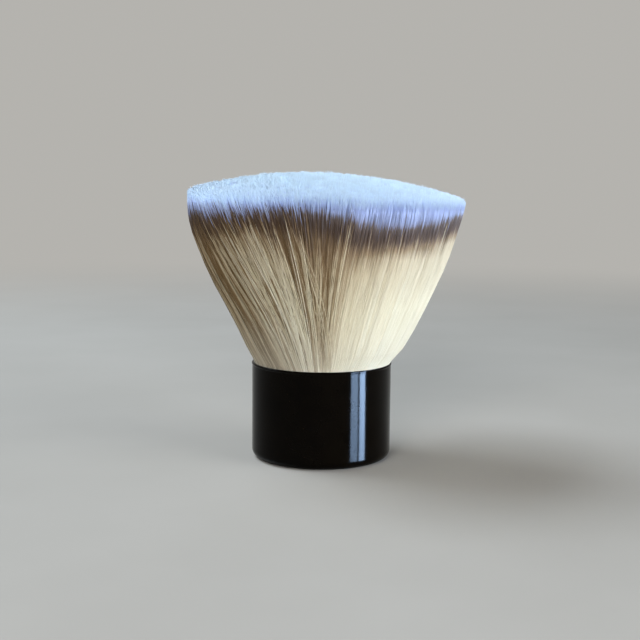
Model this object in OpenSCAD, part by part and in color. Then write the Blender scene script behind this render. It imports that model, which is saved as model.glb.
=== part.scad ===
// Kabuki makeup brush: a short glossy cup for a handle, and a dense tuft that flares out of it
// to a wide, flat, slightly domed top.
// The origin is the centre of the base, on the surface that the brush stands on. +Z is up,
// and -Y is the side that faces the viewer, with +X to the right.

/* [Handle cup] */
// Outer diameter of the handle
handle_d = 34; // [31:0.5:40]
// Height of the handle from its base to its lip
handle_h = 23.5; // [21:0.5:32]
// Thickness of the handle's wall
wall = 1; // [0.8:0.1:1.3]
// Thickness of the handle's floor
floor_t = 1.4; // [1:0.1:2]
// Radius of the rounded bottom edge
edge_r = 2; // [1.8:0.1:3.5]
// Diameter of the bead that is rolled round the lip
bead_d = 0.7; // [0.5:0.1:1]
// How far the bead stands out from the wall
bead_out = 0.1; // [0.05:0.05:0.2]

/* [Weight and spacer] */
// Gap all round between the weight on the floor and the wall
weight_gap = 3; // [2.2:0.1:6]
// Thickness of the weight
weight_t = 3; // [2:0.5:4]
// Depth of the seat in the spacer that centres the collar
seat_depth = 1.5; // [1:0.1:2]

/* [Knot] */
// Height of the glued roots
knot_h = 4.6; // [3.5:0.1:5.5]
// Depth from the lip down to the top of the glued roots
knot_depth = 8; // [7:0.5:9]
// Thickness of the thread that binds the knot
binding_t = 0.6; // [0.4:0.1:0.8]
// Thickness of the adhesive pad under the knot
pad_t = 2.5; // [2:0.1:3]
// Wall thickness of the collar round the knot
collar_t = 0.5; // [0.4:0.1:0.8]
// How far the collar stands above the glued roots
collar_rise = 1; // [0.5:0.1:1.2]
// Thickness of the adhesive ring between the collar and the wall
bond_t = 2.3; // [1.5:0.1:3]
// Height of the adhesive ring
bond_h = 4; // [3:0.5:5]

/* [Tuft] */
// Height of the whole brush, from the base to the highest bristle
brush_h = 70; // [62:0.2:80]
// Diameter of the tuft at the edge of its top
tuft_d = 68.2; // [62:0.2:76]
// Rise of the domed top from its edge to its middle
dome_h = 5.6; // [3:0.2:8]
// Slope of the top down to the right, in degrees
top_slope = 1.4; // [0:0.1:2.5]
// How far the top of the tuft leans to the right
top_lean = 1.3; // [0:0.1:2.5]
// Bend of the flare, where 1 is a straight cone and more stands up towards the top
flare_bend = 1.5; // [1.1:0.05:2]
// Number of strands, each of them a lock of finer fibres
strands = 330; // [300:5:335]
// Width of a strand at its root
strand_root_w = 0.74; // [0.5:0.02:0.84]
// Width of a strand at the lip
strand_lip_w = 0.9; // [0.6:0.02:1]
// Width of a strand at its tip
strand_tip_w = 2.4; // [1.6:0.1:2.5]
// Most that a strand is trimmed above or below the dome
trim_scatter = 0.35; // [0:0.05:0.6]

/* [Hidden] */

$fn = 96;
// Gap all round between the spacer and the handle
slip_gap = 0.1;
// Gap all round between the collar and its seat, and between the thread and the collar
fit_gap = 0.05;
// Gap between the outermost strands and the mouth of the handle
lip_gap = 0.15;
// Height above the lip at which the strands bend outwards
lip_lift = 0.1;
// Bevel on the edges of the weight
weight_bevel = 0.4;
// How far a cut runs past the surface that it opens
cut_over = 1;
// Number of sides that the slice of glued roots is drawn with
knot_sides = 32;

outer_r = handle_d / 2;
inner_r = outer_r - wall;
corner_r = min(edge_r - wall, weight_t);
bead_r = bead_d / 2;
bead_at = outer_r + bead_out - bead_r;

collar_out_r = inner_r - bond_t;
collar_in_r = collar_out_r - collar_t;
knot_r = collar_in_r - fit_gap - binding_t;
knot_z = handle_h - knot_depth - knot_h;
pad_z = knot_z - pad_t;
weight_r = inner_r - weight_gap;
weight_z = floor_t;
spacer_z = weight_z + weight_t;
spacer_top = pad_z + seat_depth;

// Each strand is a tube of three sides with a ring at each bend. t runs from 0 at the lip to
// 1 at the tip. The outermost strands have one bend more, because they draw the flare.
sides = 3;
inner_bends = [0, 0.35, 1];
outer_bends = [0, 0.35, 0.7, 1];
outer_from = 0.8;
golden_angle = 137.508;
trim_seed = 7;

tuft_h = brush_h - knot_z;
root_r = knot_r - strand_root_w;
lip_r = min(inner_r, bead_at - bead_r) - lip_gap - strand_lip_w / 2;
lip_z = handle_h + lip_lift - knot_z;
top_r = (tuft_d - strand_tip_w) / 2;
edge_z = tuft_h - dome_h - trim_scatter;
trims = rands(-trim_scatter, trim_scatter, strands, trim_seed);

// Place of a strand in the knot, on an even spiral: its share of the radius, its direction, and
// both as a point in a circle of radius 1
function share(i) = sqrt((i + 0.5) / strands);
function turn(i) = i * golden_angle;
function spot(i) = share(i) * [cos(turn(i)), sin(turn(i))];

// The share of the flare that is reached at t, and with it the flare's radius, its lean and the
// strand's width
function flare(t) = 1 - pow(1 - t, flare_bend);
function flare_r(t) = lip_r + (top_r - lip_r) * flare(t);
function lean(t) = top_lean * flare(t);
function strand_w(t) = strand_lip_w + (strand_tip_w - strand_lip_w) * flare(t);

// Height of a strand's tip on the domed, sloping top
function tip_z(i) =
    edge_z + dome_h * (1 - pow(share(i), 2)) - tan(top_slope) * top_r * spot(i).x + trims[i];

// A ring of a strand of width w: r is the knot's radius there, dx its lean and z its height
function ring(i, r, dx, z, w) = [
    for (k = [0 : sides - 1])
        let (a = turn(i) + k * 360 / sides, centre = r * spot(i))
        [centre.x + dx + w / 2 * cos(a), centre.y + w / 2 * sin(a), z]
];

// The roots start on the top of the glued slice, where they join it
function strand_points(i, bends) = [
    each ring(i, root_r, 0, knot_h, strand_root_w),
    for (t = bends) each ring(i, flare_r(t), lean(t), lip_z + t * (tip_z(i) - lip_z), strand_w(t))
];

function tube_faces(rings) = [
    [for (k = [0 : sides - 1]) k],
    for (j = [0 : rings - 2], k = [0 : sides - 1])
        let (a = j * sides + k, b = j * sides + (k + 1) % sides)
        each [[a, a + sides, b + sides], [a, b + sides, b]],
    [for (k = [sides - 1 : -1 : 0]) (rings - 1) * sides + k]
];

// The least gap between neighbouring strands at a ring. On the spiral a strand's neighbours
// are a Fibonacci number of places away.
neighbour_steps = [1, 2, 3, 5, 8, 13, 21, 34, 55];
least_step = min([
    for (i = [0 : strands - 1], s = neighbour_steps)
        if (i + s < strands) norm(spot(i) - spot(i + s))
]);
echo(least_gap_at_root = least_step * root_r - strand_root_w);
echo(least_gap_at_lip = least_step * flare_r(0) - strand_lip_w);
echo(least_gap_at_tip = least_step * flare_r(1) - strand_tip_w);

// A disc of radius r from z1 to z2, with its lower edge rounded by e, as a half section
module rounded_section(r, z1, z2, e) {
    translate([0, z1])
        square([r - e, z2 - z1]);
    translate([0, z1 + e])
        square([r, z2 - z1 - e]);
    translate([r - e, z1 + e])
        circle(e);
}

module ring_of(r1, r2, z, h) {
    rotate_extrude()
        translate([r1, z])
            square([r2 - r1, h]);
}

module handle_shell() {
    wall_top = handle_h - bead_r;
    color("#0c0c0e")
        rotate_extrude()
            union() {
                difference() {
                    intersection() {
                        rounded_section(outer_r, 0, wall_top, edge_r);
                        square([outer_r, wall_top]);
                    }
                    intersection() {
                        rounded_section(inner_r, floor_t, handle_h, corner_r);
                        square([inner_r, handle_h]);
                    }
                }
                translate([bead_at, handle_h - bead_r])
                    circle(bead_r);
            }
}

module base_weight() {
    top = weight_z + weight_t;
    color("silver")
        rotate_extrude()
            polygon([
                [0, weight_z], [weight_r - weight_bevel, weight_z], [weight_r, weight_z + weight_bevel],
                [weight_r, top - weight_bevel], [weight_r - weight_bevel, top], [0, top]
            ]);
}

module spacer_core() {
    color("burlywood")
        difference() {
            translate([0, 0, spacer_z])
                cylinder(r = inner_r - slip_gap, h = spacer_top - spacer_z);
            translate([0, 0, pad_z])
                cylinder(r = collar_out_r + fit_gap, h = seat_depth + cut_over);
        }
}

module knot_collar() {
    color("gainsboro")
        ring_of(collar_in_r, collar_out_r, pad_z, pad_t + knot_h + collar_rise);
}

module root_pad() {
    color("goldenrod")
        translate([0, 0, pad_z])
            cylinder(r = collar_in_r, h = pad_t);
}

module knot_binding() {
    color("ivory")
        ring_of(knot_r, knot_r + binding_t, knot_z, knot_h);
}

module bond_ring() {
    color("wheat")
        ring_of(collar_out_r, inner_r, spacer_top, bond_h);
}

module strand(i) {
    bends = share(i) > outer_from ? outer_bends : inner_bends;
    polyhedron(points = strand_points(i, bends), faces = tube_faces(len(bends) + 1));
}

// The strands with the slice of glued roots that they grow out of. The tuft is trimmed so that
// its highest strand reaches the brush's full height.
module bristle_tuft() {
    color("#ddd6bb")
        translate([0, 0, knot_z])
            resize([0, 0, tuft_h]) {
                cylinder(r = knot_r, h = knot_h, $fn = knot_sides);
                for (i = [0 : strands - 1])
                    strand(i);
            }
}

handle_shell();
base_weight();
spacer_core();
knot_collar();
root_pad();
knot_binding();
bond_ring();
bristle_tuft();
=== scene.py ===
"""Looks of the kabuki brush: a dense dyed tuft in place of the CAD one, materials, light and camera."""
import math

import bpy
import numpy as np
from mathutils import Matrix, Vector


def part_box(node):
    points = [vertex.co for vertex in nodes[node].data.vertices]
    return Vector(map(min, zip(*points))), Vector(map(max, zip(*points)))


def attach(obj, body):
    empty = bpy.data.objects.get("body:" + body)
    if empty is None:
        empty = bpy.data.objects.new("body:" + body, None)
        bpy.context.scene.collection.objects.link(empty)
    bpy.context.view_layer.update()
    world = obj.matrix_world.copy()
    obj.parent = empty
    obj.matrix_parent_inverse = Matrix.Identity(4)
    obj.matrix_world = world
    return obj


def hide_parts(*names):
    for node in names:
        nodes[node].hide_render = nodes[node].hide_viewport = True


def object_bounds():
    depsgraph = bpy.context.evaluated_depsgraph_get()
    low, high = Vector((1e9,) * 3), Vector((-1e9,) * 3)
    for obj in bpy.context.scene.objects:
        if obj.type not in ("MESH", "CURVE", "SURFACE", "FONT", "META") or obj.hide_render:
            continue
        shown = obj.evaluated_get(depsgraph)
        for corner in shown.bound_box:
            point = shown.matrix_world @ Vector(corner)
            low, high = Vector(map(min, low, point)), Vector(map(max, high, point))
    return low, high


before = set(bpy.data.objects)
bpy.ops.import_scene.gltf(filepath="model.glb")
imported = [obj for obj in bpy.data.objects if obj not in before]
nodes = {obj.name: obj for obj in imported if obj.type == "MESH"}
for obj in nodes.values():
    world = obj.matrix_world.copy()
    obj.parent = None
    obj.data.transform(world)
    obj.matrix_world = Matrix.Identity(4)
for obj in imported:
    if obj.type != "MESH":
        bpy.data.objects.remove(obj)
cad_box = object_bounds()

# Lengths are in millimetres, as in the CAD, and those of the stage and the lamps in metres.
# Angles are in degrees. A direction round the tuft is counted from +X, so the viewer of the photo
# is at -90.
MM = 0.001
SEED = 11

# The strands' UV map holds their shade in U, in this many columns, and the place along them in V.
# The points of a ring lie UV_APART of a column from each other.
UV_NAME = "OFBake"
UV_COLUMNS = 256
UV_APART = 0.2

# The camera, found from the handle's ellipses and edges, for a square picture
CAMERA_AT = (-0.48, -302.6, 73.4)
CAMERA_PITCH = 7.495
CAMERA_ROLL = 0.5
CAMERA_LENS = 70.3
CAMERA_SENSOR = 36
CAMERA_CLIP = (0.01, 10)

# Heights that the frame gives: the handle's lip and the top of the brush
LIP_Z = round(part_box("handle_shell")[1][2] / MM, 3)
BRUSH_TOP = round(cad_box[1][2] / MM, 3)

# The tuft's outline: its radius towards +X and towards -X at each height
OUTLINE_Z = [22.5, 23.5, 24.5, 25.9, 30.0, 35.0, 39.5, 44.0, 48.0, 52.0, 56.0, 60.0, 63.5, 66.5]
RIGHT_R = [15.8, 16.5, 17.5, 18.8, 21.4, 24.0, 26.1, 28.2, 29.9, 31.3, 32.5, 33.7, 34.4, 34.5]
LEFT_R = [15.8, 16.3, 16.8, 17.6, 19.5, 21.9, 24.3, 26.7, 28.5, 30.1, 31.5, 32.3, 32.5, 32.5]

# The domed top: its peak, how far it falls to the rim, how sharply, and how far it tilts down to
# the right. From RIM_FROM of the radius outwards, its edge is rounded by RIM_ROUND.
TOP_PEAK = BRUSH_TOP - 0.8
TOP_DROP = 5.1
TOP_POWER = 2.0
TOP_TILT = 1.1
RIM_FROM = 0.95
RIM_ROUND = 0.9

# Height at which the strands start, inside the handle
ROOT_Z = LIP_Z - 2.5

# Lengths of the white tip, of the brown band and of its fade into cream, by direction
WHITE_AT = [-180, -160, -146, -136, -125, -115, -106, -97, -88, -80, -71, -61, -51, -39, -22, 0, 40,
            80, 120, 150, 180]
WHITE_LEN = [5.0, 4.8, 5.8, 4.9, 3.5, 2.8, 2.6, 2.3, 2.6, 3.5, 5.3, 5.8, 5.1, 4.5, 2.7, 2.8, 4.0,
             3.3, 4.6, 4.2, 5.0]
BROWN_AT = [-180, -150, -136, -125, -115, -106, -97, -88, -80, -71, -61, -51, -39, -22, 0, 60, 120, 180]
BROWN_LEN = [6.0, 4.9, 3.7, 3.3, 5.5, 4.0, 4.7, 4.6, 6.0, 5.2, 3.7, 3.9, 4.1, 4.5, 4.8, 4.6, 5.6, 6.0]
FADE_LEN = [6.0, 4.5, 2.8, 3.0, 6.4, 5.6, 9.0, 5.2, 6.0, 5.1, 4.2, 3.4, 3.2, 2.6, 2.6, 4.0, 5.0, 6.0]

# The even lengths of the three inside the tuft, and the shares of the radius between which they
# turn into the wavy ones
EVEN_LEN = [5.0, 5.0, 4.0]
EVEN_TO = (0.6, 0.95)

# V at the ends of those zones: the tip, the ends of white, of brown and of its fade, and the root,
# which is TUFT_LEN from the tip
V_ENDS = [0.0, 0.3, 0.55, 0.75, 1.0]
TUFT_LEN = 48.0

# How late the white tip turns violet, by direction: evenly at 1, sooner below it, later above it. It paints
# shade on the tips: darker on the front right, lighter on the left and at the back.
TIP_SHADE_AT = [-180, -120, -90, -62, -35, 0, 60, 180]
TIP_SHADE = [1.6, 1.7, 1.15, 0.5, 0.8, 1.3, 1.3, 1.6]

# V of the very tip at the rim of the top, and the share of the radius where it starts to rise. The
# rounding of the rim cuts RIM_CUT of its own depth off the tips' dye.
TINT = 0.07
TINT_FROM = 0.5
RIM_CUT = 0.5

# By direction: how unruly the hair is, from 0 to 1, how far a strand has still to turn round the tuft at
# its root, how far the side swells out, and the painted shade of the cream part, from 0 to 1: light on the
# right, which faces the key lamp, dim and warm towards the left and in a dip in the middle of the front,
# and darkest in a painted shadow band on the far left
UNRULY_AT = [-180, -150, -110, -90, -75, -55, 0, 30, 60, 120, 150, 180]
UNRULY = [0.4, 0.85, 1.0, 0.5, 0.25, 0.12, 0.12, 0.4, 0.8, 0.6, 0.6, 0.4]
SWEEP_AT = [-180, -165, -150, -130, -107, -95, -76, -60, -40, 0, 150, 180]
SWEEP = [-8, -24, -32, -25, -13, -2, 8, 3, 0, 0, 0, -8]
SWEEP_POWER = 1.4
SWELL_AT = [-180, -125, -108, -97, -88, -76, -60, 20, 90, 180]
SWELL = [0.0, 0.3, 0.0, -0.6, -0.5, 0.1, 0.2, 0.0, 0.0, 0.0]
PAINTED_SHADE_AT = [-180, -172, -162, -154, -146, -134, -118, -104, -95, -87, -79, -70, -50, 0, 40, 90, 140, 180]
PAINTED_SHADE = [0.30, 0.10, 0.03, 0.06, 0.32, 0.36, 0.29, 0.22, 0.13, 0.16, 0.40, 0.70, 0.87, 0.86, 0.80,
         0.62, 0.55, 0.30]

# Every strand: its number of sides, where it thins and to what share of its width, and how it
# winds: the number of waves along it, in and out and from side to side, and the share of its height
# over which they grow
SIDES = 3
TAPER_AT = [0, 0.9, 0.965, 1]
TAPER = [1, 1, 0.75]
WAVE_BEATS = (0.6, 2.2)
SWAY_BEATS = (0.4, 1.6)
RIPPLE_GROWS = 0.25
# A strand nearer to the axis than this is turned no further by its sway
SWAY_FROM_R = 8
# How late along its height a strand leaves the side and heads for its own place on the top
TIP_CURVE = 5
# How strongly normals turn to the tuft's own surface, and the height over which that surface
# turns from facing out to facing up
SOFTEN = 1.1
UPWARD_LEN = 3.2

# Scatter of the zones from strand to strand: of their lengths, of the fade in shares, and how many
# strands have no brown band, half the white or more white
ZONE_SCATTER = 0.7
FADE_SCATTER = (-0.4, 0.5)
PLAIN_SHARE = 0.1
PLAIN_BROWN = 0.4
SHORT_WHITE_SHARE = 0.08
LONG_WHITE_SHARE = 0.025
LONG_WHITE_BY = (1.5, 4)
LEAST_WHITE = 1.2
LEAST_BROWN = 0.4

# The shares of their scatter that zones and locks keep where the hair is calm, and what the coat and
# the wisps sway there, as a share of what unruly hair adds
CALM_ZONES = 0.3
CALM_LOCKS = 0.1
CALM_COAT_SWAY = 0.4
CALM_LOOSE_SWAY = 0.3

# The coat that draws the tuft's side. Depth is how far inside the rim a strand may end, as a share
# of the radius, and skew crowds them to the outside. Tuck is the share of that depth that it keeps
# along the side: on calm hair, and what unruly hair adds.
COAT_RINGS = np.array([0, 0.07, 0.15, 0.25, 0.37, 0.49, 0.6, 0.7, 0.78, 0.84, 0.89, 0.935, 0.97, 1])
COAT_COUNT = 15000
COAT_PIECES = 7
COAT_DEPTH = 0.16
COAT_SKEW = 1.6
COAT_TUCK = (0.03, 0.30)
COAT_TWIST = 2.0
COAT_WAVE = (0.03, 0.22)
COAT_SWAY = (0.1, 0.4)
COAT_TRIM = 0.24
COAT_SHADE = 0.42
COAT_WIDTH = (0.10, 0.16)
COAT_TIP = 0.4

# The locks that the coat gathers in: how firmly, and the scatter of their bulge, their twist, their
# white tips and their shade
LOCK_COUNT = 230
LOCK_HOLD = (0.05, 0.5)
LOCK_BOW = 0.28
LOCK_TWIST = 2.2
LOCK_WHITE = 0.45
LOCK_SHADE = 0.15

# The wisps of loose fibres over the coat. On calm hair they sink under its surface. Their shade is raised
# over the coat's: partly a random paler tone, partly a painted highlight of the light that loose fibres
# catch.
WISP_COUNT = 170
WISP_TWIST = 5.0
WISP_BOW = (0.1, 0.9)
WISP_SINK = 0.2
WISP_HIGHLIGHT_AND_TONE = (0.25, 0.7)
WISP_WHITE = 0.9
LOOSE_COUNT = 900
LOOSE_APART = 0.005  # radians round the tuft
LOOSE_DEPTH = 0.05
LOOSE_TWIST = 1.0
LOOSE_BOW = 0.08
LOOSE_WAVE = (0.03, 0.25)
LOOSE_SWAY = (0.1, 0.5)
LOOSE_TRIM = 0.3
LOOSE_PLAIN_SHARE = 0.35
LOOSE_WIDTH = (0.11, 0.18)

# The tips that fill the domed top, out to a share of its radius, and the clumps that they gather in
CROWN_RINGS = np.array([0.88, 0.955, 1])
CROWN_COUNT = 39000
CROWN_PIECES = 3
CROWN_TO_Q = 0.955
CROWN_TWIST = 3
CROWN_SWAY = (0, 0.5)
CROWN_TRIM = 0.13
CROWN_WIDTH = (0.15, 0.24)
CROWN_TIP = 0.45
CROWN_SHADE = 0.4
CROWN_SHADE_BY = 0.2
CLUMP_COUNT = 1500
CLUMP_TRIM = 0.17
CLUMP_WHITE = 4.5
CLUMP_SHADE = 0.3

# The packed fibres behind the coat: how far they lie inside the side and under the top, their rows
# and columns, the share of the radius that the side's rows count as, and how far they reach below
# the roots. The slant is a strand's length over its height.
CORE_INSET = 1.0
CORE_SINK = 2.4
CORE_SIDE_ROWS = 22
CORE_TOP_ROWS = 14
CORE_TOP_FROM_TO = (0.93, 0.03)
CORE_TURNS = 180
CORE_Q = 0.97
CORE_FOOT = 1.5
CORE_SLANT = 1.15
# Waves round the core: their number, height as a share of the radius, and phase in radians
CORE_WAVES = [(61, 0.008, 0), (97, 0.006, 1)]
# UV of the middle of its foot and of its top
CORE_END_UV = [[0.5, 1.0], [0.5, 0.1]]

rng = np.random.default_rng(SEED)


# Shape of the tuft

def smooth_curve(x, xs, ys):
    """A smooth curve through the points, without overshoot between even steps."""
    xs, ys = np.asarray(xs, float), np.asarray(ys, float)
    slope = np.gradient(ys, xs)
    i = np.clip(np.searchsorted(xs, x) - 1, 0, len(xs) - 2)
    h = xs[i + 1] - xs[i]
    t = np.clip((x - xs[i]) / h, 0, 1)
    return ((2 * t**3 - 3 * t**2 + 1) * ys[i] + (t**3 - 2 * t**2 + t) * h * slope[i]
            + (3 * t**2 - 2 * t**3) * ys[i + 1] + (t**3 - t**2) * h * slope[i + 1])


def outline_r(phi, z):
    """Radius of the tuft's side at direction phi and height z."""
    right = smooth_curve(z, OUTLINE_Z, RIGHT_R)
    left = smooth_curve(z, OUTLINE_Z, LEFT_R)
    return (right + left) / 2 + (right - left) / 2 * np.cos(phi)


def rim_drop(q):
    """How far the rounded rim lies below the dome at share q of the radius."""
    rim = np.clip((q - RIM_FROM) / (1 - RIM_FROM), 0, 1)
    return RIM_ROUND * (1 - np.sqrt(1 - rim**2))


def top_z(phi, q):
    """Height of the trimmed top at direction phi and share q of the radius."""
    return TOP_PEAK - TOP_DROP * q**TOP_POWER - TOP_TILT * q * np.cos(phi) - rim_drop(q)


def around(phi, at, values):
    """Value at direction phi, in radians, of a list that is given by degrees."""
    degrees = (np.degrees(phi) + 180) % 360 - 180
    return np.interp(degrees, at, values)


def rise(x, low, high):
    """A smooth step from 0 at low to 1 at high."""
    t = np.clip((x - low) / (high - low), 0, 1)
    return t * t * (3 - 2 * t)


def kept(wild, calm):
    """Share of a scatter that hair keeps: calm where it is tidy, and all where it is unruly."""
    return calm + (1 - calm) * wild


# Dyed zones along the strands

def zone_lengths(phi, q):
    """Lengths of the white, brown and fading parts: wavy on the outside, even further in."""
    side = rise(q, *EVEN_TO)
    wavy = [around(phi, WHITE_AT, WHITE_LEN), around(phi, BROWN_AT, BROWN_LEN),
            around(phi, BROWN_AT, FADE_LEN)]
    return [inner + (outer - inner) * side for inner, outer in zip(EVEN_LEN, wavy)]


def zone_v(phi, q, from_tip, white, brown, fade):
    """V of a point from its distance to the tip, so that one ramp colours every strand.

    The white tips turn violet sooner towards the rim of the top, and by direction, where it is painted
    shade."""
    ends = [np.zeros_like(white), white, white + brown, white + brown + fade,
            np.maximum(TUFT_LEN, white + brown + fade + 1)]
    from_tip = from_tip + RIM_CUT * rim_drop(q)
    shares = [np.clip((from_tip - ends[k]) / (ends[k + 1] - ends[k]), 0, 1) for k in range(4)]
    start = TINT * rise(q, TINT_FROM, 1)
    # Painted shade on the tips by direction
    shares[0] = shares[0] ** (1 + (around(phi, TIP_SHADE_AT, TIP_SHADE) - 1) * rise(q, *EVEN_TO))
    v = start + shares[0] * (V_ENDS[1] - start)
    for k in range(1, 4):
        v = v + shares[k] * (V_ENDS[k + 1] - V_ENDS[k])
    return v


def lengths_from_tip(paths):
    """Length along each strand from each of its rings to its tip."""
    step = np.linalg.norm(np.diff(paths, axis=1), axis=2)
    return np.concatenate([np.cumsum(step[:, ::-1], axis=1)[:, ::-1], np.zeros((len(paths), 1))], axis=1)


def strand_zones(phi, q, paths, white_shift, wild, plain_share=PLAIN_SHARE):
    """V along each strand, with the wavy zones of the photo and a scatter from strand to strand."""
    count = len(phi)
    stray = kept(wild, CALM_ZONES)
    white, brown, fade = zone_lengths(phi, q)
    white = white + (white_shift + rng.normal(0, ZONE_SCATTER, count)) * stray
    brown = brown + rng.normal(0, ZONE_SCATTER, count) * stray
    fade = fade * (1 + rng.uniform(*FADE_SCATTER, count) * stray)
    plain = rng.random(count) < plain_share * wild
    short_white = rng.random(count) < SHORT_WHITE_SHARE * wild
    long_white = rng.random(count) < LONG_WHITE_SHARE * stray
    brown = np.where(plain, PLAIN_BROWN, brown)
    white = np.where(short_white, white / 2, white)
    white = np.where(long_white, white + rng.uniform(*LONG_WHITE_BY, count), white)
    white = np.clip(white, LEAST_WHITE, None)
    brown = np.clip(brown, LEAST_BROWN, None)
    return zone_v(phi[:, None], q[:, None], lengths_from_tip(paths), white[:, None], brown[:, None],
                  fade[:, None])


# Strands as meshes

def make_mesh(name, points, quads, triangles, uv, material, normals=None):
    """An object from points in millimetres, with quads and triangles, and one UV for each point."""
    mesh = bpy.data.meshes.new(name)
    mesh.vertices.add(len(points))
    mesh.vertices.foreach_set("co", (points * MM).astype(np.float32).ravel())
    corners = np.concatenate([quads.ravel(), triangles.ravel()])
    starts = np.concatenate([np.arange(len(quads)) * 4,
                             len(quads) * 4 + np.arange(len(triangles)) * 3])
    mesh.loops.add(len(corners))
    mesh.loops.foreach_set("vertex_index", corners.astype(np.int32))
    mesh.polygons.add(len(starts))
    mesh.polygons.foreach_set("loop_start", starts.astype(np.int32))
    mesh.update(calc_edges=True)
    layer = mesh.uv_layers.new(name=UV_NAME)
    layer.data.foreach_set("uv", uv[corners].astype(np.float32).ravel())
    mesh.validate()
    mesh.shade_smooth()
    if normals is not None:
        mesh.normals_split_custom_set_from_vertices(normals)
    piece = bpy.data.objects.new(name, mesh)
    bpy.context.scene.collection.objects.link(piece)
    mesh.materials.append(material)
    return piece


def dress(piece):
    """A piece of the tuft rides on the brush, and stands for the CAD tuft."""
    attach(piece, "root")
    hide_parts("bristle_tuft")


def strand_directions(paths):
    """Two directions across each strand at each ring: out of the tuft, and sideways."""
    tangent = np.gradient(paths, axis=1)
    tangent /= np.linalg.norm(tangent, axis=2, keepdims=True)
    phi = np.arctan2(paths[:, -1, 1], paths[:, -1, 0])
    across = np.stack([-np.sin(phi), np.cos(phi), np.zeros(len(phi))], axis=1)[:, None, :]
    out = np.cross(np.broadcast_to(across, tangent.shape), tangent)
    out /= np.linalg.norm(out, axis=2, keepdims=True)
    return out, np.cross(tangent, out)


def tuft_facing(paths, out):
    """Where the tuft's own surface faces at each ring: outwards, and upwards near the tips."""
    from_top = paths[:, -1:, 2] - paths[:, :, 2]
    up = 1 - rise(from_top, 0, UPWARD_LEN)[..., None]
    return (1 - up) * out + up * np.array([0.0, 0.0, 1.0])


def strand_uv(shade, v):
    """UV of each strand's points. They lie apart in their column, so that no face is without area."""
    column = np.clip(np.floor(shade * UV_COLUMNS), 0, UV_COLUMNS - 1)
    column = (column + 0.5) / UV_COLUMNS
    apart = (np.arange(SIDES) - 1) * UV_APART / UV_COLUMNS
    uv = np.empty((*v.shape, SIDES, 2))
    uv[..., 0] = column[:, None, None] + apart
    uv[..., 1] = v[..., None]
    return uv.reshape(-1, 2)


def strand_faces(count, rings):
    """The quads round the strands, and the triangles that close their ends."""
    index = np.arange(count * rings * SIDES).reshape(count, rings, SIDES)
    nxt = np.roll(index, -1, axis=2)
    quads = np.stack([index[:, :-1], nxt[:, :-1], nxt[:, 1:], index[:, 1:]], axis=-1)
    caps = np.concatenate([index[:, 0, ::-1], index[:, -1]])
    return quads.reshape(-1, 4), caps


def tubes(name, paths, widths, shade, v, material, soften=0.0):
    """A piece of strands. paths is strands x rings x 3, and widths and v are strands x rings.

    shade, from 0 to 1, is each strand's brightness, which carries painted shade by direction for the coat
    and wisps, besides a random tone. soften turns the strands' normals to where the tuft's own surface
    faces, so that neighbours are lit as one soft surface."""
    count, rings, _ = paths.shape
    out, side = strand_directions(paths)
    facing = tuft_facing(paths, out)
    start = rng.uniform(0, 2 * math.pi, count)[:, None]
    points = np.empty((count, rings, SIDES, 3))
    normals = np.empty_like(points)
    for k in range(SIDES):
        angle = start + k * 2 * math.pi / SIDES
        offset = np.cos(angle)[..., None] * side - np.sin(angle)[..., None] * out
        points[:, :, k] = paths + offset * widths[..., None] / 2
        normals[:, :, k] = offset + soften * facing
    normals /= np.linalg.norm(normals, axis=-1, keepdims=True)
    quads, caps = strand_faces(count, rings)
    piece = make_mesh(name, points.reshape(-1, 3), quads, caps, strand_uv(shade, v), material,
                      normals.reshape(-1, 3) if soften else None)
    dress(piece)


def ripple(count, s, beats):
    """A slow wave along each strand that starts from nothing at the root."""
    waves = rng.uniform(*beats, count)[:, None]
    phase = rng.uniform(0, 2 * math.pi, count)[:, None]
    return np.sin(2 * math.pi * waves * s + phase) * np.clip(s / RIPPLE_GROWS, 0, 1)


def strand_paths(phi, q, s, twist, bow, wave, sway, trim, tuck):
    """Centre lines of strands that fan out from the lip to the top, strands x rings x 3.

    phi and q give a strand's place on the top, and s its ring heights from 0 to 1. twist is how far
    it turns round the tuft on its way, in radians. bow is how far it bulges, wave and sway how much
    it winds in and out and from side to side, and trim how far it ends above the top. tuck is the
    share of its depth that a strand has along the side, before its tip curves in."""
    count = len(phi)
    end = top_z(phi, q) + trim
    z = ROOT_Z + s * (end[:, None] - ROOT_Z)
    sweep = np.radians(around(phi, SWEEP_AT, SWEEP))
    turn = phi[:, None] + twist[:, None] * (s - 1) + sweep[:, None] * (s**SWEEP_POWER - 1)
    depth = (1 - q[:, None]) * (tuck[:, None] + (1 - tuck[:, None]) * s**TIP_CURVE)
    r = (1 - depth) * outline_r(turn, z) + bow[:, None] * np.sin(math.pi * s)
    r = r + wave[:, None] * ripple(count, s, WAVE_BEATS)
    turn = turn + sway[:, None] / np.maximum(r, SWAY_FROM_R) * ripple(count, s, SWAY_BEATS)
    return np.stack([r * np.cos(turn), r * np.sin(turn), z], axis=2)


def taper(s, width, tip_share):
    """Width along a strand, which keeps to the last few millimetres and then thins to its tip."""
    keep = np.interp(s, TAPER_AT, [*TAPER, tip_share])
    return width[:, None] * keep[None, :]


def evenly_round(count):
    """Directions in radians round the tuft, one in each of count even steps."""
    return math.pi * (2 * (np.arange(count) + rng.random(count)) / count - 1)


# The coat

def nearest(values, centres):
    """The centre nearest to each value, on a circle, and its number."""
    ring = np.concatenate([[centres[-1] - 2 * math.pi], centres, [centres[0] + 2 * math.pi]])
    i = np.searchsorted(ring, values)
    pick = np.where(values - ring[i - 1] < ring[i] - values, i - 1, i)
    return ring[pick], (pick - 1) % len(centres)


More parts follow.
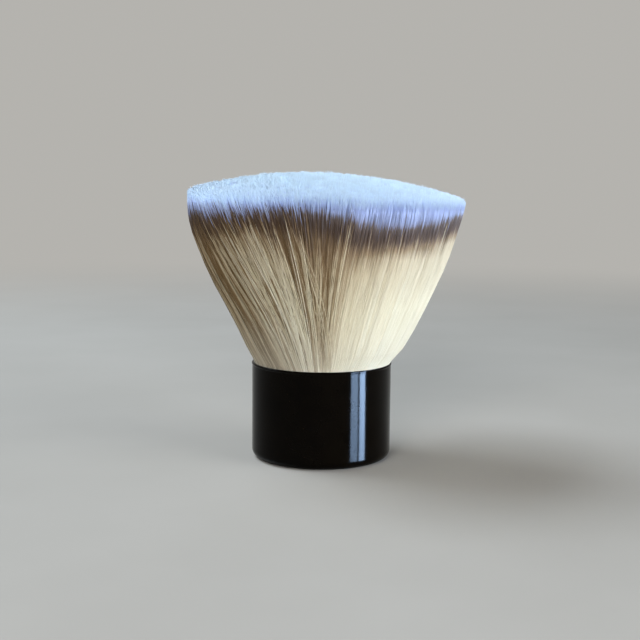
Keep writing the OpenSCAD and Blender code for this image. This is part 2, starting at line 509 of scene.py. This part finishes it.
def make_locks():
    """The locks that gather the coat's strands: where each is, and how it strays."""
    count = LOCK_COUNT
    return {"at": np.sort(rng.uniform(-math.pi, math.pi, count)),
            "hold": rng.uniform(*LOCK_HOLD, count),
            "bow": rng.normal(0, LOCK_BOW, count),
            "twist": rng.normal(0, math.radians(LOCK_TWIST), count),
            "white": rng.normal(0, LOCK_WHITE, count),
            "shade": rng.normal(0, LOCK_SHADE, count)}


def lay_coat(name, count, locks, material):
    """One piece of the strands that draw the tuft's side, gathered into locks."""
    start = evenly_round(count)
    q = 1 - COAT_DEPTH * rng.random(count) ** COAT_SKEW
    centre, lock = nearest(start, locks["at"])
    wild = around(start, UNRULY_AT, UNRULY)
    phi = start + (centre - start) * locks["hold"][lock] * kept(wild, CALM_LOCKS)
    stray = locks["twist"][lock] + rng.normal(0, math.radians(COAT_TWIST), count)
    twist = stray * wild + (phi - start)
    bow = around(start, SWELL_AT, SWELL) + locks["bow"][lock] * wild
    wave = rng.uniform(*COAT_WAVE, count) * wild
    sway = rng.uniform(*COAT_SWAY, count) * (CALM_COAT_SWAY + wild)
    trim = rng.normal(0, COAT_TRIM, count)
    tuck = COAT_TUCK[0] + COAT_TUCK[1] * wild
    paths = strand_paths(phi, q, COAT_RINGS, twist, bow, wave, sway, trim, tuck)
    v = strand_zones(phi, q, paths, locks["white"][lock], wild)
    scatter = rng.uniform(-COAT_SHADE, COAT_SHADE, count) + locks["shade"][lock]
    # Painted shade by direction, with the lock's and the strand's own random tone on top
    shade = around(start, PAINTED_SHADE_AT, PAINTED_SHADE) + scatter * kept(wild, CALM_LOCKS)
    width = taper(COAT_RINGS, rng.uniform(*COAT_WIDTH, count), COAT_TIP)
    tubes(name, paths, width, shade, v, material, SOFTEN)


def make_wisps():
    """The wisps that loose fibres gather in, each a little across the others."""
    count = WISP_COUNT
    at = evenly_round(count)
    wild = around(at, UNRULY_AT, UNRULY)
    twist = rng.normal(0, math.radians(WISP_TWIST), count) * wild
    lift = rng.uniform(*WISP_BOW, count) * wild
    sink = WISP_SINK * (1 - wild)
    # The wisps' shade lift: partly random paler tone, partly painted highlight
    bright = rng.uniform(*WISP_HIGHLIGHT_AND_TONE, count) * kept(wild, CALM_LOCKS)
    return {"at": at,
            "wild": wild,
            "twist": twist,
            "bow": around(at, SWELL_AT, SWELL) + lift - sink,
            # Painted shade by direction, raised by the wisp's painted highlight
            "shade": around(at, PAINTED_SHADE_AT, PAINTED_SHADE) + bright,
            "white": rng.normal(0, WISP_WHITE, count)}


def lay_wisps(name, count, material):
    """One piece of loose fibres that lie over the coat."""
    wisps = make_wisps()
    which = rng.integers(0, WISP_COUNT, count)
    wild = wisps["wild"][which]
    phi = wisps["at"][which] + rng.normal(0, LOOSE_APART, count)
    q = 1 - LOOSE_DEPTH * rng.random(count)
    twist = wisps["twist"][which] + rng.normal(0, math.radians(LOOSE_TWIST), count)
    bow = wisps["bow"][which] + rng.normal(0, LOOSE_BOW, count)
    wave = rng.uniform(*LOOSE_WAVE, count) * wild
    sway = rng.uniform(*LOOSE_SWAY, count) * (CALM_LOOSE_SWAY + wild)
    trim = rng.normal(0, LOOSE_TRIM, count)
    paths = strand_paths(phi, q, COAT_RINGS, twist, bow, wave, sway, trim, np.zeros(count))
    v = strand_zones(phi, q, paths, wisps["white"][which], wild, LOOSE_PLAIN_SHARE)
    width = taper(COAT_RINGS, rng.uniform(*LOOSE_WIDTH, count), COAT_TIP)
    tubes(name, paths, width, wisps["shade"][which], v, material, SOFTEN)


def make_coat(material):
    """Full-length strands that draw the tuft's side, and the wisps over them."""
    locks = make_locks()
    for piece in range(COAT_PIECES):
        lay_coat(f"tuft_coat_{piece + 1}", COAT_COUNT // COAT_PIECES, locks, material)
    lay_wisps("tuft_loose", LOOSE_COUNT, material)


# The crown

def on_disc(phi, q):
    """Points of a disc of radius 1."""
    return np.stack([q * np.cos(phi), q * np.sin(phi)], axis=1)


def make_clumps():
    """The clumps that the tips of the top gather in, and how each strays."""
    count = CLUMP_COUNT
    at = on_disc(rng.uniform(-math.pi, math.pi, count), np.sqrt(rng.random(count)))
    return {"at": at,
            "trim": rng.normal(0, CLUMP_TRIM, count),
            "white": rng.normal(0, CLUMP_WHITE, count),
            "shade": rng.normal(0, CLUMP_SHADE, count)}


def nearest_clump(phi, q, clumps):
    """The clump that each tip belongs to."""
    at = clumps["at"]
    return np.argmin((at**2).sum(axis=1) - 2 * on_disc(phi, q) @ at.T, axis=1)


def lay_crown(name, count, clumps, material):
    """One piece of the tips that fill the domed top. Only their last few millimetres are made."""
    phi = rng.uniform(-math.pi, math.pi, count)
    q = np.sqrt(rng.uniform(0, CROWN_TO_Q**2, count))
    still = np.zeros(count)
    twist = rng.normal(0, math.radians(CROWN_TWIST), count)
    sway = rng.uniform(*CROWN_SWAY, count)
    clump = nearest_clump(phi, q, clumps)
    trim = rng.normal(0, CROWN_TRIM, count) + clumps["trim"][clump]
    paths = strand_paths(phi, q, CROWN_RINGS, twist, still, still, sway, trim, np.ones(count))
    v = strand_zones(phi, q, paths, clumps["white"][clump], still)
    width = taper(CROWN_RINGS, rng.uniform(*CROWN_WIDTH, count), CROWN_TIP)
    shade = CROWN_SHADE + rng.uniform(-CROWN_SHADE_BY, CROWN_SHADE_BY, count) + clumps["shade"][clump]
    tubes(name, paths, width, shade, v, material)


def make_crown(material):
    """The tips that fill the domed top."""
    clumps = make_clumps()
    for piece in range(CROWN_PIECES):
        lay_crown(f"tuft_crown_{piece + 1}", CROWN_COUNT // CROWN_PIECES, clumps, material)


# The core

def core_rows(phi):
    """Rows of the core, from its foot up the side and in over the top.

    Each is its radius, its height, its distance from the tips and its share of the radius."""
    rows = []
    q = np.full_like(phi, CORE_Q)
    top = top_z(phi, q) - CORE_SINK
    for k in np.linspace(0, 1, CORE_SIDE_ROWS):
        z = ROOT_Z - CORE_FOOT + k * (top - ROOT_Z + CORE_FOOT)
        r = outline_r(phi, z) - CORE_INSET + around(phi, SWELL_AT, SWELL) * math.sin(math.pi * k)
        rows.append((r, z, (top + CORE_SINK - z) * CORE_SLANT, q))
    edge_r = rows[-1][0]
    edge_q = edge_r / outline_r(phi, top_z(phi, np.ones_like(phi)))
    for k in np.linspace(*CORE_TOP_FROM_TO, CORE_TOP_ROWS):
        q = edge_q * k
        rows.append((edge_r * k, top_z(phi, q) - CORE_SINK, np.full_like(phi, CORE_SINK), q))
    return rows


def core_faces(turns, height):
    """The quads between the core's rows, and the triangles that close its foot and its top."""
    index = np.arange(turns * height).reshape(height, turns)
    nxt = np.roll(index, -1, axis=1)
    quads = np.stack([index[:-1], nxt[:-1], nxt[1:], index[1:]], axis=-1).reshape(-1, 4)
    foot, top = np.full(turns, turns * height), np.full(turns, turns * height + 1)
    caps = [np.stack([nxt[0], index[0], foot], axis=1), np.stack([index[-1], nxt[-1], top], axis=1)]
    return quads, np.concatenate(caps)


def make_core(material):
    """The packed fibres behind the coat: the same form, a little smaller, closed at the bottom."""
    phi = np.linspace(-math.pi, math.pi, CORE_TURNS, endpoint=False)
    wobble = 1 + sum(height * np.sin(phi * waves + phase) for waves, height, phase in CORE_WAVES)
    points, uv = [], []
    rows = core_rows(phi)
    for r, z, from_tip, q in rows:
        points.append(np.stack([r * wobble * np.cos(phi), r * wobble * np.sin(phi), z], axis=1))
        v = zone_v(phi, q, from_tip, *zone_lengths(phi, q))
        uv.append(np.stack([(phi + math.pi) / (2 * math.pi), v], axis=1))
    points = np.concatenate(points + [[[0, 0, ROOT_Z - CORE_FOOT], [0, 0, TOP_PEAK - CORE_SINK]]])
    uv = np.concatenate(uv + [CORE_END_UV])
    dress(make_mesh("tuft_core", points, *core_faces(CORE_TURNS, len(rows)), uv, material))


# Node helpers

def new_material(name):
    """A node material with a Principled shader; gives its node tree and the shader."""
    material = bpy.data.materials.new(name)
    material.use_nodes = True
    tree = material.node_tree
    tree.nodes.clear()
    out = tree.nodes.new("ShaderNodeOutputMaterial")
    shader = tree.nodes.new("ShaderNodeBsdfPrincipled")
    tree.links.new(shader.outputs["BSDF"], out.inputs["Surface"])
    return material, tree, shader


def put(tree, socket, value):
    """Links a socket to another, or sets it to a plain value."""
    if isinstance(value, bpy.types.NodeSocket):
        tree.links.new(value, socket)
    else:
        socket.default_value = value


def add(tree, kind, **values):
    """A node with its sockets and settings, where a socket's name has _ for each space."""
    node = tree.nodes.new(kind)
    for key, value in values.items():
        socket = key.replace("_", " ")
        if socket in node.inputs:
            put(tree, node.inputs[socket], value)
        else:
            setattr(node, key, value)
    return node


def math_node(tree, operation, a, b):
    """The sum, product or other result of two factors."""
    node = add(tree, "ShaderNodeMath", operation=operation)
    put(tree, node.inputs[0], a)
    put(tree, node.inputs[1], b)
    return node.outputs[0]


def mapped(tree, factor, low, high):
    """A factor from 0 to 1, mapped to low..high."""
    return math_node(tree, "ADD", math_node(tree, "MULTIPLY", factor, high - low), low)


def mixed(tree, factor, a, b):
    """Colour a where the factor is 0, and b where it is 1."""
    node = add(tree, "ShaderNodeMix", data_type="RGBA")
    sockets = [node.inputs[0], *(socket for socket in node.inputs if socket.type == "RGBA")]
    for socket, value in zip(sockets, (factor, a, b)):
        put(tree, socket, value)
    return next(socket for socket in node.outputs if socket.type == "RGBA")


def blended(tree, factor, a, b):
    """Shader a where the factor is 0, and b where it is 1."""
    node = add(tree, "ShaderNodeMixShader", Fac=factor)
    put(tree, node.inputs[1], a)
    put(tree, node.inputs[2], b)
    return node.outputs[0]


def ramp(tree, factor, stops):
    """A colour ramp from (place, (r, g, b)) stops."""
    node = add(tree, "ShaderNodeValToRGB")
    put(tree, node.inputs[0], factor)
    elements = node.color_ramp.elements
    while len(elements) < len(stops):
        elements.new(0.5)
    for element, (place, _) in zip(elements, stops):
        element.position = place
    for element, (_, colour) in zip(elements, stops):
        element.color = (*colour, 1)
    return node.outputs["Color"]


def step_between(tree, value, low, high, first=0.0, last=1.0):
    """A smooth step from first to last as the value goes from low to high."""
    node = add(tree, "ShaderNodeMapRange", interpolation_type="SMOOTHSTEP", Value=value, From_Min=low,
               From_Max=high, To_Min=first, To_Max=last)
    return node.outputs["Result"]


# Materials of the tuft

# Colours along a fibre by V, from its tip to its root. The white tip darkens through violet before the
# brown band: partly the dye's blend into brown, partly painted shade of the tuft's side below its lit top.
HAIR_STOPS = [
    (0.0, (0.675, 0.85, 1.0)),
    (0.09, (0.645, 0.805, 1.0)),
    (0.18, (0.47, 0.58, 0.91)),
    (0.27, (0.33, 0.39, 0.64)),
    (0.335, (0.16, 0.12, 0.10)),
    (0.42, (0.10, 0.068, 0.050)),
    (0.53, (0.135, 0.090, 0.060)),
    (0.63, (0.40, 0.31, 0.20)),
    (0.75, (0.73, 0.68, 0.54)),
    (0.85, (0.92, 0.915, 0.775)),
    (1.0, (0.985, 1.0, 0.91)),
]

# What a fibre's shade value does to its tip and its brown band, and to its cream part. Low values paint the
# cream dim and warm like hair in shadow: painted shade where the value comes by direction, and a random
# tone from strand to strand.
EVEN_STOPS = [
    (0.0, (0.86, 0.86, 0.86)),
    (1.0, (1.0, 1.0, 1.0)),
]
SHADE_STOPS = [
    (0.0, (0.27, 0.19, 0.115)),
    (0.15, (0.40, 0.30, 0.205)),
    (0.40, (0.62, 0.53, 0.43)),
    (0.65, (0.85, 0.80, 0.71)),
    (1.0, (1.0, 1.0, 1.0)),
]
# V over which the cream part's painted shade and tone set in, V where they start to weaken towards the
# root, and how much of them is left there
CREAM_FROM_TO = (0.35, 0.75)
ROOT_FROM_TO = (0.85, 1.0)
ROOT_SHADE = 0.6

# Streaks along the fibres: how far apart the columns are in the noise, its beats from tip to root,
# how far it shifts the zones in V, and what it does to the brightness
STREAK_APART = 7.31
STREAK_BEATS = 9.0
STREAK_SHIFT = 0.03
STREAK_BRIGHT = (0.96, 1.12)

HAIR_ROUGHNESS = 0.55
HAIR_SPECULAR = 0.12

# The core's fibres: their number round it, and the range of their shades, kept low: painted shade of the
# tuft's depths, with a random tone from fibre to fibre
PACKED_COLUMNS = 900.0
PACKED_SHADE = (0.15, 0.6)


def fibre_tone_and_shade(tree, shade, v):
    """What a fibre's shade value does to its dye, painted shade and random tone together: a little at the
    tip, and most in the cream part.
    """
    even = ramp(tree, shade, EVEN_STOPS)
    # Dim, warm cream where the shade value is low: painted shade
    painted_shade_tint = ramp(tree, shade, SHADE_STOPS)
    cream = step_between(tree, v, *CREAM_FROM_TO)
    root = step_between(tree, v, *ROOT_FROM_TO, 1.0, ROOT_SHADE)
    return mixed(tree, math_node(tree, "MULTIPLY", cream, root), even, painted_shade_tint)


def packed_shade(tree, column):
    """A random shade of its own for each column of the core, kept low as painted shade of the depths."""
    dice = add(tree, "ShaderNodeTexWhiteNoise", noise_dimensions="1D", W=column)
    return mapped(tree, dice.outputs["Value"], *PACKED_SHADE)


def streaks(tree, column, v):
    """A noise from 0 to 1 that runs along each fibre."""
    along = add(tree, "ShaderNodeCombineXYZ", X=math_node(tree, "MULTIPLY", column, STREAK_APART),
                Y=math_node(tree, "MULTIPLY", v, STREAK_BEATS))
    return add(tree, "ShaderNodeTexNoise", Vector=along.outputs[0], Scale=1.0, Detail=2.0).outputs["Fac"]


def hair_material(name, columns, packed=False):
    """Dyed fibres: the zones follow V, and each fibre has its shade by U, which holds painted shade as well
    as a random tone.
    """
    material, tree, shader = new_material(name)
    uv = add(tree, "ShaderNodeUVMap", uv_map=UV_NAME)
    split = add(tree, "ShaderNodeSeparateXYZ", Vector=uv.outputs[0])
    u, v = split.outputs["X"], split.outputs["Y"]
    column = math_node(tree, "FLOOR", math_node(tree, "MULTIPLY", u, columns), 0.0)
    shade = packed_shade(tree, column) if packed else u
    streak = streaks(tree, column, v)
    zone = math_node(tree, "ADD", v, mapped(tree, streak, -STREAK_SHIFT, STREAK_SHIFT))
    dye = ramp(tree, zone, HAIR_STOPS)
    dyed = add(tree, "ShaderNodeVectorMath", operation="MULTIPLY")
    put(tree, dyed.inputs[0], dye)
    put(tree, dyed.inputs[1], fibre_tone_and_shade(tree, shade, v))
    bright = add(tree, "ShaderNodeVectorMath", operation="SCALE",
                 Scale=mapped(tree, streak, *STREAK_BRIGHT))
    put(tree, bright.inputs[0], dyed.outputs[0])
    put(tree, shader.inputs["Base Color"], bright.outputs[0])
    shader.inputs["Roughness"].default_value = HAIR_ROUGHNESS
    shader.inputs["Specular IOR Level"].default_value = HAIR_SPECULAR
    return material


# Materials of the CAD nodes

# The lacquer's two shades, the range of its roughness, what the fine noise adds to it, and its gloss
LACQUER_LOW = (0.0014, 0.0009, 0.0005)
LACQUER_HIGH = (0.0026, 0.0018, 0.001)
LACQUER_ROUGH = (0.02, 0.09)
LACQUER_FINE_ROUGH = (0.0, 0.03)
LACQUER_SPECULAR = 0.05

# The pieces inside: two shades, the grain's scale and how far it is drawn out, and the finish
INNER_FINISHES = {
    "base_weight": dict(name="turned_steel", low=(0.38, 0.38, 0.39), high=(0.56, 0.56, 0.57),
                        scale=900.0, roughness=0.35, metallic=1.0, stretch=(1, 1, 12)),
    "spacer_core": dict(name="turned_wood", low=(0.42, 0.27, 0.14), high=(0.62, 0.43, 0.25),
                        scale=350.0, roughness=0.6, stretch=(1, 1, 8)),
    "knot_collar": dict(name="bare_aluminium", low=(0.72, 0.72, 0.73), high=(0.84, 0.84, 0.85),
                        scale=1200.0, roughness=0.3, metallic=1.0, stretch=(1, 1, 10)),
    "root_pad": dict(name="root_adhesive", low=(0.42, 0.28, 0.08), high=(0.58, 0.42, 0.16),
                     scale=500.0, roughness=0.3),
    "bond_ring": dict(name="bond_adhesive", low=(0.46, 0.36, 0.18), high=(0.62, 0.52, 0.30),
                      scale=500.0, roughness=0.35),
    "knot_binding": dict(name="wound_thread", low=(0.62, 0.60, 0.52), high=(0.82, 0.80, 0.72),
                         scale=700.0, roughness=0.85, stretch=(1, 1, 30)),
    "bristle_tuft": dict(name="glued_fibres", low=(0.55, 0.50, 0.36), high=(0.74, 0.70, 0.54),
                         scale=1500.0, roughness=0.5, stretch=(4, 4, 1)),
}


def gloss_black():
    """Deep black lacquer with a faint unevenness and light smudges."""
    material, tree, shader = new_material("handle_lacquer")
    place = add(tree, "ShaderNodeTexCoord").outputs["Object"]
    cloud = add(tree, "ShaderNodeTexNoise", Vector=place, Scale=160.0, Detail=3.0).outputs["Fac"]
    fine = add(tree, "ShaderNodeTexNoise", Vector=place, Scale=1500.0, Detail=2.0).outputs["Fac"]
    put(tree, shader.inputs["Base Color"], ramp(tree, cloud, [(0.3, LACQUER_LOW), (0.7, LACQUER_HIGH)]))
    rough = mapped(tree, cloud, *LACQUER_ROUGH)
    rough = math_node(tree, "ADD", rough, mapped(tree, fine, *LACQUER_FINE_ROUGH))
    put(tree, shader.inputs["Roughness"], rough)
    bump = add(tree, "ShaderNodeBump", Height=cloud, Strength=0.02, Distance=0.0004)
    pits = add(tree, "ShaderNodeBump", Height=fine, Strength=0.03, Distance=0.00006, Normal=bump.outputs[0])
    put(tree, shader.inputs["Normal"], pits.outputs[0])
    shader.inputs["Specular IOR Level"].default_value = LACQUER_SPECULAR
    return material


def speckled(name, low, high, scale, roughness, metallic=0.0, stretch=(1, 1, 1)):
    """A plain material for the pieces inside: two shades in a noise, with a rough and bumpy grain."""
    material, tree, shader = new_material(name)
    place = add(tree, "ShaderNodeTexCoord").outputs["Object"]
    grain = add(tree, "ShaderNodeMapping", Vector=place, Scale=stretch)
    noise = add(tree, "ShaderNodeTexNoise", Vector=grain.outputs[0], Scale=scale, Detail=4.0).outputs["Fac"]
    put(tree, shader.inputs["Base Color"], ramp(tree, noise, [(0.3, low), (0.7, high)]))
    put(tree, shader.inputs["Roughness"], mapped(tree, noise, roughness * 0.8, roughness * 1.2))
    bump = add(tree, "ShaderNodeBump", Height=noise, Strength=0.15, Distance=0.0002)
    put(tree, shader.inputs["Normal"], bump.outputs[0])
    shader.inputs["Metallic"].default_value = metallic
    return material


def paint(node, material):
    """Gives a CAD node its material."""
    mesh = nodes[node].data
    mesh.materials.clear()
    mesh.materials.append(material)


# Stage: floor, backdrop, lamps and camera, in metres

# The floor is flat out to FLOOR_R and curves up by BEND_R into a wall. It lies a hair below the
# brush. Between the two distances of GLOW_FROM_TO it turns into an evenly lit backdrop.
FLOOR_R = 1.1
BEND_R = 0.5
BEND_STEPS = 8
WALL_TOP = 1.0
FLOOR_TURNS = 96
FLOOR_BELOW = 0.00005
FLOOR_PALE = [(0.35, (0.45, 0.43, 0.40)), (0.65, (0.47, 0.45, 0.42))]
FLOOR_SHEEN = 0.2
GLOW_FROM_TO = (0.2, 0.58)
BACKDROP_GLOW = (0.46, 0.45, 0.425)
# What the floor throws back at the brush: the warm light of a wooden table top
FLOOR_BOUNCE = (0.29, 0.23, 0.16)

LAMP_AIM = (0, 0, 0.035)
PANE_COLOUR = (0.45, 0.66, 1.0)
# The two panes: azimuth, width and power
PANES = [(55.5, 0.175, 31), (70.3, 0.150, 50)]
WORLD_COLOUR = (0.86, 0.88, 0.92)
WORLD_STRENGTH = 0.1


def floor_material():
    """Plain pale matte floor, which turns far off into an evenly lit backdrop.

    What the handle reflects of it has a sheen."""
    material, tree, sheen = new_material("pale_floor")
    place = add(tree, "ShaderNodeTexCoord").outputs["Object"]
    rays = add(tree, "ShaderNodeLightPath").outputs
    seen = math_node(tree, "MAXIMUM", rays["Is Camera Ray"], rays["Is Glossy Ray"])
    noise = add(tree, "ShaderNodeTexNoise", Vector=place, Scale=18.0, Detail=3.0)
    colour = mixed(tree, seen, (*FLOOR_BOUNCE, 1), ramp(tree, noise.outputs["Fac"], FLOOR_PALE))
    put(tree, sheen.inputs["Base Color"], colour)
    sheen.inputs["Roughness"].default_value = FLOOR_SHEEN
    matte = add(tree, "ShaderNodeBsdfDiffuse", Color=colour)
    near = blended(tree, rays["Is Glossy Ray"], matte.outputs[0], sheen.outputs[0])
    away = add(tree, "ShaderNodeVectorMath", operation="LENGTH", Vector=place)
    far = step_between(tree, away.outputs["Value"], *GLOW_FROM_TO)
    glow = add(tree, "ShaderNodeEmission", Color=(*BACKDROP_GLOW, 1), Strength=seen)
    out = next(node for node in tree.nodes if node.type == "OUTPUT_MATERIAL")
    put(tree, out.inputs["Surface"], blended(tree, far, near, glow.outputs[0]))
    return material


def floor_section():
    """Radius and height of the floor's rings, from the middle out and up."""
    section = [(FLOOR_R / 2, 0.0), (FLOOR_R, 0.0)]
    for k in range(1, BEND_STEPS + 1):
        a = k / BEND_STEPS * math.pi / 2
        section.append((FLOOR_R + BEND_R * math.sin(a), BEND_R * (1 - math.cos(a))))
    section.append((FLOOR_R + BEND_R, WALL_TOP))
    return section


def make_floor():
    """A round floor that curves up into a low wall, so that there is no horizon."""
    section = floor_section()
    points = [(0.0, 0.0, -FLOOR_BELOW)]
    for r, z in section:
        for k in range(FLOOR_TURNS):
            a = 2 * math.pi * k / FLOOR_TURNS
            points.append((r * math.cos(a), r * math.sin(a), z - FLOOR_BELOW))
    steps = [(k, (k + 1) % FLOOR_TURNS) for k in range(FLOOR_TURNS)]
    faces = [(0, 1 + k, 1 + nxt) for k, nxt in steps]
    for row in range(len(section) - 1):
        low = 1 + row * FLOOR_TURNS
        high = low + FLOOR_TURNS
        faces.extend((low + k, high + k, high + nxt, low + nxt) for k, nxt in steps)
    mesh = bpy.data.meshes.new("floor")
    mesh.from_pydata(points, [], faces)
    mesh.shade_smooth()
    mesh.materials.append(floor_material())
    floor = bpy.data.objects.new("floor", mesh)
    bpy.context.scene.collection.objects.link(floor)


def add_lamp(name, azimuth, elevation, distance, size, power, colour, aim=LAMP_AIM):
    """An area lamp. Its azimuth is counted from the camera's side towards +X."""
    a, e = math.radians(azimuth), math.radians(elevation)
    aim = Vector(aim)
    at = aim + distance * Vector((math.sin(a) * math.cos(e), -math.cos(a) * math.cos(e), math.sin(e)))
    data = bpy.data.lights.new(name, "AREA")
    data.shape = "RECTANGLE"
    data.size, data.size_y = size
    data.energy = power
    data.color = colour
    lamp = bpy.data.objects.new(name, data)
    lamp.matrix_world = Matrix.Translation(at) @ (aim - at).to_track_quat("-Z", "Y").to_matrix().to_4x4()
    bpy.context.scene.collection.objects.link(lamp)
    return lamp


def make_lamps():
    """Three soft lamps, and two narrow panes that only gloss sees: the highlight on the handle."""
    key = add_lamp("key", azimuth=62, elevation=5, distance=0.8, size=(0.6, 0.34), power=9.2,
                   colour=(0.95, 0.985, 1.0))
    key.visible_glossy = False
    add_lamp("top", azimuth=245, elevation=52, distance=0.9, size=(0.6, 0.6), power=8.5,
             colour=(0.82, 0.92, 1.0))
    front = add_lamp("front", azimuth=-12, elevation=24, distance=0.9, size=(0.35, 0.25), power=3.9,
                     colour=(1.0, 0.98, 0.97))
    front.visible_glossy = False
    for azimuth, width, power in PANES:
        pane = add_lamp("pane", azimuth, elevation=10, distance=0.8, size=(width, 0.24), power=power,
                        colour=PANE_COLOUR, aim=(0, 0, 0))
        pane.visible_diffuse = False


def make_world():
    """A faint even light from all round."""
    world = bpy.data.worlds.new("world")
    bpy.context.scene.world = world
    world.use_nodes = True
    background = world.node_tree.nodes["Background"]
    background.inputs["Color"].default_value = (*WORLD_COLOUR, 1)
    background.inputs["Strength"].default_value = WORLD_STRENGTH


def make_camera():
    """The camera at the photo's viewing angle."""
    data = bpy.data.cameras.new("camera")
    data.lens = CAMERA_LENS
    data.sensor_width = CAMERA_SENSOR
    data.clip_start, data.clip_end = CAMERA_CLIP
    camera = bpy.data.objects.new("camera", data)
    turn = (Matrix.Rotation(math.radians(90 - CAMERA_PITCH), 4, "X")
            @ Matrix.Rotation(math.radians(CAMERA_ROLL), 4, "Z"))
    camera.matrix_world = Matrix.Translation(Vector(CAMERA_AT) * MM) @ turn
    bpy.context.scene.collection.objects.link(camera)
    bpy.context.scene.camera = camera


# Making it all

paint("handle_shell", gloss_black())
for node, finish in INNER_FINISHES.items():
    paint(node, speckled(**finish))

fibre = hair_material("dyed_fibre", UV_COLUMNS)
make_core(hair_material("packed_fibre", PACKED_COLUMNS, packed=True))
make_coat(fibre)
make_crown(fibre)

make_floor()
make_lamps()
make_world()
make_camera()
bpy.context.scene.view_settings.view_transform = "Standard"
